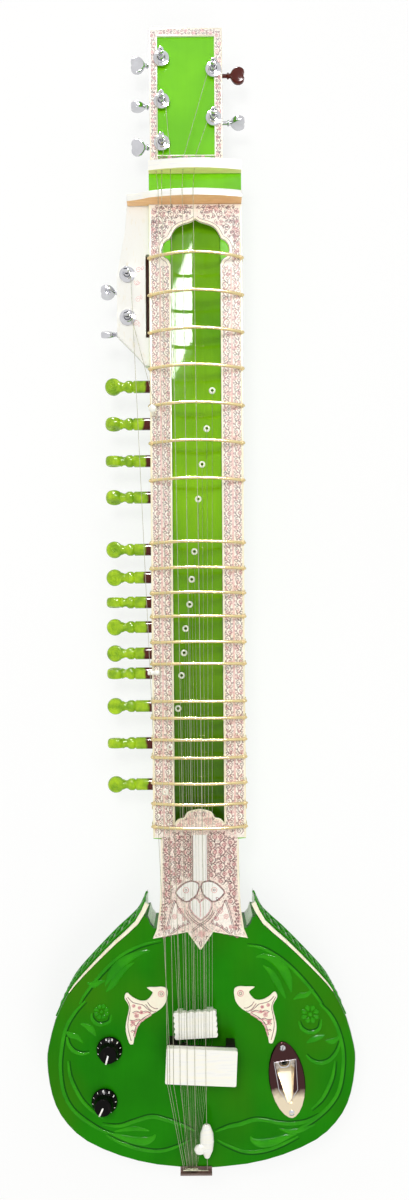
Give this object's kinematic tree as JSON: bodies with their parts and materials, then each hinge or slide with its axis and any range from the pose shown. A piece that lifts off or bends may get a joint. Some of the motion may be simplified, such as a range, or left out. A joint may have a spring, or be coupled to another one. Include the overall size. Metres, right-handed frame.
{
  "type": "electric sitar",
  "caption": "Long-necked electric sitar with arched frets, sympathetic strings under a second bridge, side pegs, geared tuners, two knobs and a recessed jack",
  "frame": {"origin": "middle of the footprint, on the plane of the flat back that the instrument lies on", "axes": "+Z out of the front, towards the strings; +Y along the neck from the tail to the headstock; +X to the treble side, away from the side pegs"},
  "size_m": [0.2936, 1.0902, 0.0903],
  "materials": {
    "green_lacquer": "glossy clear-coated green lacquer on carved wood",
    "bright_green_lacquer": "glossy light green lacquer on wood",
    "peg_lacquer": "yellow-green lacquer on turned wood",
    "engraved_celluloid": "cream celluloid, engraved and filled in pink and grey",
    "bone": "polished cream bone",
    "fret_brass": "polished brass rod",
    "steel": "bright steel wire and strip",
    "chrome": "polished chrome plate",
    "black_plastic": "black moulded plastic",
    "black_wood": "black stained hardwood",
    "dark_button_plastic": "dark red-black moulded plastic",
    "white_plastic": "white laminated plastic"
  },
  "bodies": {
    "instrument": {"bird_left": "engraved_celluloid", "bird_right": "engraved_celluloid", "body_core": "green_lacquer", "control_cover": "black_plastic", "edge_binding_left": "bone", "edge_binding_right": "bone", "fretboard_plate": "bright_green_lacquer", "gear_plate_left": "chrome", "gear_plate_right": "chrome", "gear_plate_side": "chrome", "headstock_border": "engraved_celluloid", "heel_overlay": "engraved_celluloid", "jack_plate": "chrome", "lower_nut": "bone", "main_bridge_base": "black_wood", "main_jawari_plate": "bone", "neck": "green_lacquer", "neck_overlay": "engraved_celluloid", "side_tuner_plate": "white_plastic", "small_jawari": "bone", "strings_main": "steel", "strings_sympathetic": "steel", "tailpiece": "steel", "top_plate": "green_lacquer", "upper_nut": "bone", "wired_harness": "steel"},
    "fret_08": {"fret_08": "fret_brass"},
    "fret_14": {"fret_14": "fret_brass"},
    "fret_18": {"fret_18": "fret_brass"},
    "fret_19": {"fret_19": "fret_brass"},
    "swan_bead": {"swan_bead": "bone"},
    "tarab_peg_01": {"tarab_peg_01": "peg_lacquer"},
    "tarab_peg_02": {"tarab_peg_02": "peg_lacquer"},
    "tarab_peg_03": {"tarab_peg_03": "peg_lacquer"},
    "tarab_peg_04": {"tarab_peg_04": "peg_lacquer"},
    "tarab_peg_05": {"tarab_peg_05": "peg_lacquer"},
    "tarab_peg_06": {"tarab_peg_06": "peg_lacquer"},
    "tarab_peg_07": {"tarab_peg_07": "peg_lacquer"},
    "tarab_peg_08": {"tarab_peg_08": "peg_lacquer"},
    "tarab_peg_09": {"tarab_peg_09": "peg_lacquer"},
    "tarab_peg_10": {"tarab_peg_10": "peg_lacquer"},
    "tarab_peg_11": {"tarab_peg_11": "peg_lacquer"},
    "tarab_peg_12": {"tarab_peg_12": "peg_lacquer"},
    "tarab_peg_13": {"tarab_peg_13": "peg_lacquer"},
    "tone_knob": {"tone_knob": "black_plastic"},
    "tuner_button_1": {"tuner_button_1": "chrome"},
    "tuner_button_2": {"tuner_button_2": "chrome"},
    "tuner_button_3": {"tuner_button_3": "chrome"},
    "tuner_button_4": {"tuner_button_4": "dark_button_plastic"},
    "tuner_button_5": {"tuner_button_5": "chrome"},
    "tuner_button_6": {"tuner_button_6": "chrome"},
    "tuner_button_7": {"tuner_button_7": "chrome"},
    "tuner_post_1": {"tuner_post_1": "chrome"},
    "tuner_post_2": {"tuner_post_2": "chrome"},
    "tuner_post_3": {"tuner_post_3": "chrome"},
    "tuner_post_4": {"tuner_post_4": "chrome"},
    "tuner_post_5": {"tuner_post_5": "chrome"},
    "tuner_post_6": {"tuner_post_6": "chrome"},
    "tuner_post_7": {"tuner_post_7": "chrome"},
    "volume_knob": {"volume_knob": "black_plastic"}
  },
  "joints": [
    {"name": "fret_08_slide", "type": "slide", "parent": "instrument", "child": "fret_08", "axis": [0, 1, 0], "range_m": [0, 0.028]},
    {"name": "fret_14_slide", "type": "slide", "parent": "instrument", "child": "fret_14", "axis": [0, 1, 0], "range_m": [0, 0.016]},
    {"name": "fret_18_slide", "type": "slide", "parent": "instrument", "child": "fret_18", "axis": [0, 1, 0], "range_m": [0, 0.014]},
    {"name": "fret_19_slide", "type": "slide", "parent": "instrument", "child": "fret_19", "axis": [0, 1, 0], "range_m": [0, 0.012]},
    {"name": "tarab_peg_01_turn", "type": "hinge", "parent": "instrument", "child": "tarab_peg_01", "pos_m": [-0.06, 0.2099, 0.036], "axis": [1, 0, 0], "continuous": true},
    {"name": "tarab_peg_02_turn", "type": "hinge", "parent": "instrument", "child": "tarab_peg_02", "pos_m": [-0.06, 0.1736, 0.036], "axis": [1, 0, 0], "continuous": true},
    {"name": "tarab_peg_03_turn", "type": "hinge", "parent": "instrument", "child": "tarab_peg_03", "pos_m": [-0.06, 0.1376, 0.036], "axis": [1, 0, 0], "continuous": true},
    {"name": "tarab_peg_04_turn", "type": "hinge", "parent": "instrument", "child": "tarab_peg_04", "pos_m": [-0.06, 0.1022, 0.036], "axis": [1, 0, 0], "continuous": true},
    {"name": "tarab_peg_05_turn", "type": "hinge", "parent": "instrument", "child": "tarab_peg_05", "pos_m": [-0.06, 0.0514, 0.036], "axis": [1, 0, 0], "continuous": true},
    {"name": "tarab_peg_06_turn", "type": "hinge", "parent": "instrument", "child": "tarab_peg_06", "pos_m": [-0.06, 0.0243, 0.036], "axis": [1, 0, 0], "continuous": true},
    {"name": "tarab_peg_07_turn", "type": "hinge", "parent": "instrument", "child": "tarab_peg_07", "pos_m": [-0.06, 0.0001, 0.036], "axis": [1, 0, 0], "continuous": true},
    {"name": "tarab_peg_08_turn", "type": "hinge", "parent": "instrument", "child": "tarab_peg_08", "pos_m": [-0.06, -0.0239, 0.036], "axis": [1, 0, 0], "continuous": true},
    {"name": "tarab_peg_09_turn", "type": "hinge", "parent": "instrument", "child": "tarab_peg_09", "pos_m": [-0.06, -0.0495, 0.036], "axis": [1, 0, 0], "continuous": true},
    {"name": "tarab_peg_10_turn", "type": "hinge", "parent": "instrument", "child": "tarab_peg_10", "pos_m": [-0.06, -0.0689, 0.036], "axis": [1, 0, 0], "continuous": true},
    {"name": "tarab_peg_11_turn", "type": "hinge", "parent": "instrument", "child": "tarab_peg_11", "pos_m": [-0.06, -0.1008, 0.036], "axis": [1, 0, 0], "continuous": true},
    {"name": "tarab_peg_12_turn", "type": "hinge", "parent": "instrument", "child": "tarab_peg_12", "pos_m": [-0.06, -0.1368, 0.036], "axis": [1, 0, 0], "continuous": true},
    {"name": "tarab_peg_13_turn", "type": "hinge", "parent": "instrument", "child": "tarab_peg_13", "pos_m": [-0.06, -0.1769, 0.036], "axis": [1, 0, 0], "continuous": true},
    {"name": "tuner_button_1_turn", "type": "hinge", "parent": "instrument", "child": "tuner_button_1", "pos_m": [-0.0312, 0.4463, 0.02995], "axis": [-1, 0, 0], "continuous": true},
    {"name": "tuner_post_1_turn", "type": "hinge", "parent": "instrument", "child": "tuner_post_1", "pos_m": [-0.0312, 0.4354, 0.02995], "axis": [0, 0, 1], "continuous": true},
    {"name": "tuner_button_2_turn", "type": "hinge", "parent": "instrument", "child": "tuner_button_2", "pos_m": [-0.0312, 0.4862, 0.02995], "axis": [-1, 0, 0], "continuous": true},
    {"name": "tuner_post_2_turn", "type": "hinge", "parent": "instrument", "child": "tuner_post_2", "pos_m": [-0.0312, 0.4753, 0.02995], "axis": [0, 0, 1], "continuous": true},
    {"name": "tuner_button_3_turn", "type": "hinge", "parent": "instrument", "child": "tuner_button_3", "pos_m": [-0.0312, 0.5267, 0.02995], "axis": [-1, 0, 0], "continuous": true},
    {"name": "tuner_post_3_turn", "type": "hinge", "parent": "instrument", "child": "tuner_post_3", "pos_m": [-0.0312, 0.5158, 0.02995], "axis": [0, 0, 1], "continuous": true},
    {"name": "tuner_button_4_turn", "type": "hinge", "parent": "instrument", "child": "tuner_button_4", "pos_m": [0.0183, 0.5159, 0.02995], "axis": [1, 0, 0], "continuous": true},
    {"name": "tuner_post_4_turn", "type": "hinge", "parent": "instrument", "child": "tuner_post_4", "pos_m": [0.0183, 0.505, 0.02995], "axis": [0, 0, 1], "continuous": true},
    {"name": "tuner_button_5_turn", "type": "hinge", "parent": "instrument", "child": "tuner_button_5", "pos_m": [0.0183, 0.4697, 0.02995], "axis": [1, 0, 0], "continuous": true},
    {"name": "tuner_post_5_turn", "type": "hinge", "parent": "instrument", "child": "tuner_post_5", "pos_m": [0.0183, 0.4588, 0.02995], "axis": [0, 0, 1], "continuous": true},
    {"name": "tuner_button_6_turn", "type": "hinge", "parent": "instrument", "child": "tuner_button_6", "pos_m": [-0.0651, 0.3004, 0.03995], "axis": [-1, 0, 0], "continuous": true},
    {"name": "tuner_post_6_turn", "type": "hinge", "parent": "instrument", "child": "tuner_post_6", "pos_m": [-0.0651, 0.3113, 0.03995], "axis": [0, 0, 1], "continuous": true},
    {"name": "tuner_button_7_turn", "type": "hinge", "parent": "instrument", "child": "tuner_button_7", "pos_m": [-0.0651, 0.2595, 0.03995], "axis": [-1, 0, 0], "continuous": true},
    {"name": "tuner_post_7_turn", "type": "hinge", "parent": "instrument", "child": "tuner_post_7", "pos_m": [-0.0651, 0.2704, 0.03995], "axis": [0, 0, 1], "continuous": true},
    {"name": "volume_knob_turn", "type": "hinge", "parent": "instrument", "child": "volume_knob", "pos_m": [-0.087, -0.4256, 0.06], "axis": [0, 0, 1], "range_deg": [-135, 135]},
    {"name": "tone_knob_turn", "type": "hinge", "parent": "instrument", "child": "tone_knob", "pos_m": [-0.092, -0.4746, 0.06], "axis": [0, 0, 1], "range_deg": [-135, 135]},
    {"name": "swan_bead_slide", "type": "slide", "parent": "instrument", "child": "swan_bead", "axis": [-0.0094, 0.9588, 0.2838], "range_m": [0, 0.014]}
  ],
  "couplings": [
    {"joint": "tuner_button_1_turn", "follows": "tuner_post_1_turn", "ratio": 15},
    {"joint": "tuner_button_2_turn", "follows": "tuner_post_2_turn", "ratio": 15},
    {"joint": "tuner_button_3_turn", "follows": "tuner_post_3_turn", "ratio": 15},
    {"joint": "tuner_button_4_turn", "follows": "tuner_post_4_turn", "ratio": 15},
    {"joint": "tuner_button_5_turn", "follows": "tuner_post_5_turn", "ratio": 15},
    {"joint": "tuner_button_6_turn", "follows": "tuner_post_6_turn", "ratio": 15},
    {"joint": "tuner_button_7_turn", "follows": "tuner_post_7_turn", "ratio": 15}
  ]
}
